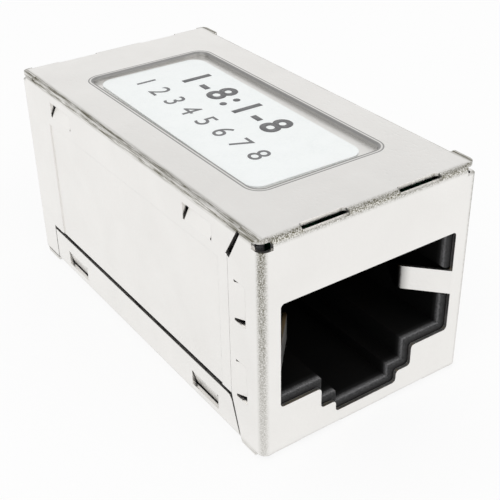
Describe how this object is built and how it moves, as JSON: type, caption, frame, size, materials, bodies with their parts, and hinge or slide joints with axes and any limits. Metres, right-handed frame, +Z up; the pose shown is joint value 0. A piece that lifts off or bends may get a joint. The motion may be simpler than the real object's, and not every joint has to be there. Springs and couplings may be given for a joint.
{
  "type": "rj45 inline coupler",
  "caption": "Folded metal shell with a stepped modular plug socket at each end that joins network cables in line; ground springs at the ports, label in a pressed recess on top.",
  "frame": {"origin": "on the underside, at the middle of the footprint", "axes": "+X across the coupler to the right of the front port, +Y from the front port to the rear port, +Z up from the latch side of the ports to the labelled side"},
  "size_m": [0.015, 0.029, 0.0144],
  "materials": {
    "shield_plate": "bright nickel plate on stamped sheet, a little grainy at the folds",
    "housing_plastic": "moulded black thermoplastic",
    "insert_plastic": "moulded black thermoplastic",
    "contact_plate": "gold-plated phosphor bronze",
    "board_laminate": "glass laminate under green solder mask",
    "label_stock": "bright white coated label stock"
  },
  "bodies": {
    "root": {"shield_cover": "shield_plate", "shield_base": "shield_plate", "label": "label_stock", "circuit_board": "board_laminate", "front_jack_housing": "housing_plastic", "rear_jack_housing": "housing_plastic", "front_contact_insert": "insert_plastic", "rear_contact_insert": "insert_plastic", "front_contact_1": "contact_plate", "front_contact_2": "contact_plate", "front_contact_3": "contact_plate", "front_contact_4": "contact_plate", "front_contact_5": "contact_plate", "front_contact_6": "contact_plate", "front_contact_7": "contact_plate", "front_contact_8": "contact_plate", "rear_contact_1": "contact_plate", "rear_contact_2": "contact_plate", "rear_contact_3": "contact_plate", "rear_contact_4": "contact_plate", "rear_contact_5": "contact_plate", "rear_contact_6": "contact_plate", "rear_contact_7": "contact_plate", "rear_contact_8": "contact_plate"}
  },
  "joints": []
}
